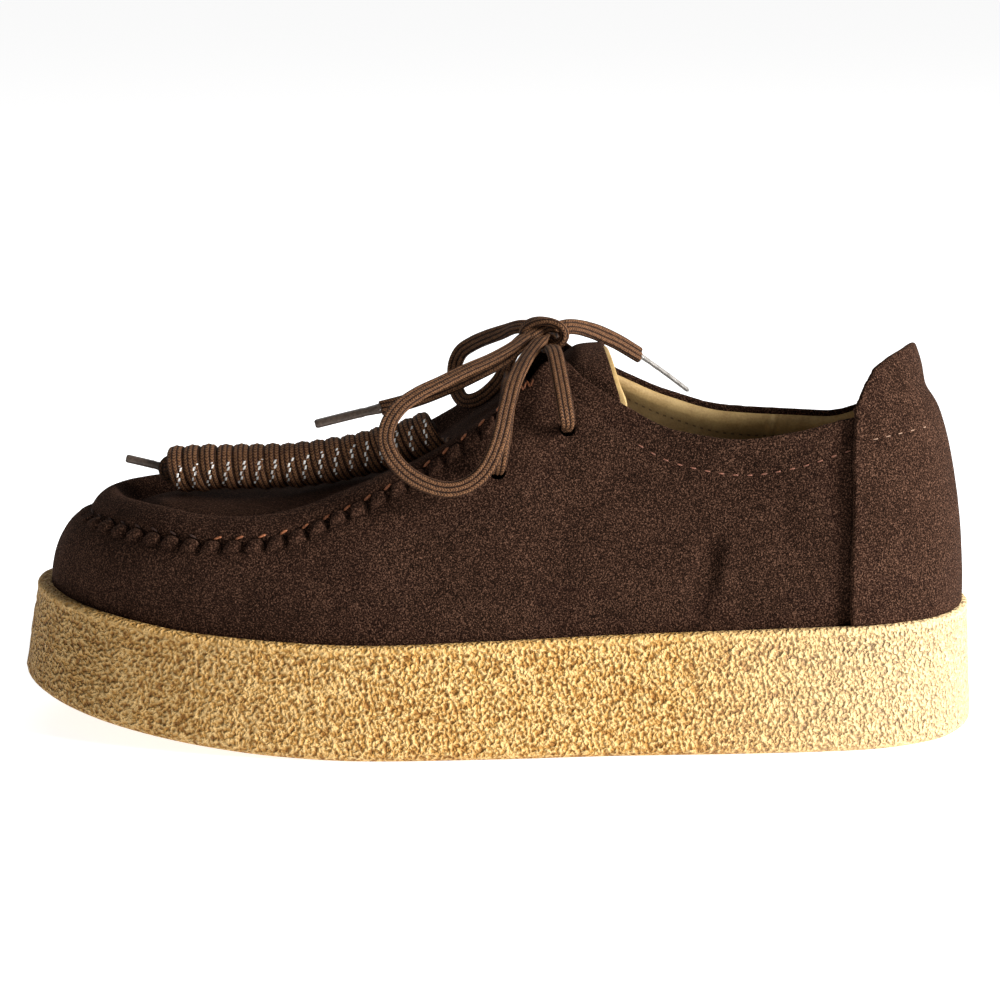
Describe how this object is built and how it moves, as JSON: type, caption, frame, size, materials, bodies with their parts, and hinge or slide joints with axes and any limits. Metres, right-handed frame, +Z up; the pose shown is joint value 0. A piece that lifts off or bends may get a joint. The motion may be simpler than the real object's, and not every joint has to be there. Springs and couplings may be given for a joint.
{
  "type": "platform lace-up shoe",
  "caption": "Left moccasin shoe on a thick crepe platform: suede upper with a rolled apron seam, laced flaps tied in a bow, a leaning heel tab, and a spare lace wound on the apron.",
  "frame": {"origin": "on the floor, at the middle of the platform's length and width", "axes": "+Z up, -X towards the toe, +X towards the heel, -Y towards the outer side of the foot, +Y towards the inner side"},
  "size_m": [0.28, 0.1038, 0.1178],
  "materials": {
    "crepe": "golden tan crepe with a coarse crumbly grain and a smoother rim",
    "suede": "dark chocolate suede with a fine mottled nap",
    "footbed": "smooth golden tan leather",
    "braid": "flat braided cord, brown with tan threads",
    "lace_tip": "thin wrapped film"
  },
  "bodies": {
    "root": {"outsole": "crepe", "upper": "suede", "heel_counter": "suede", "tongue": "suede", "insole": "footbed", "lace_bar_low": "braid", "lace_bar_high": "braid", "lace_knot": "braid", "lace_loop_near": "braid", "lace_loop_far": "braid", "lace_end_near": "braid", "lace_end_far": "braid", "aglet_near": "lace_tip", "aglet_far": "lace_tip", "spare_lace_coil": "braid", "aglet_spare": "lace_tip"}
  },
  "joints": []
}
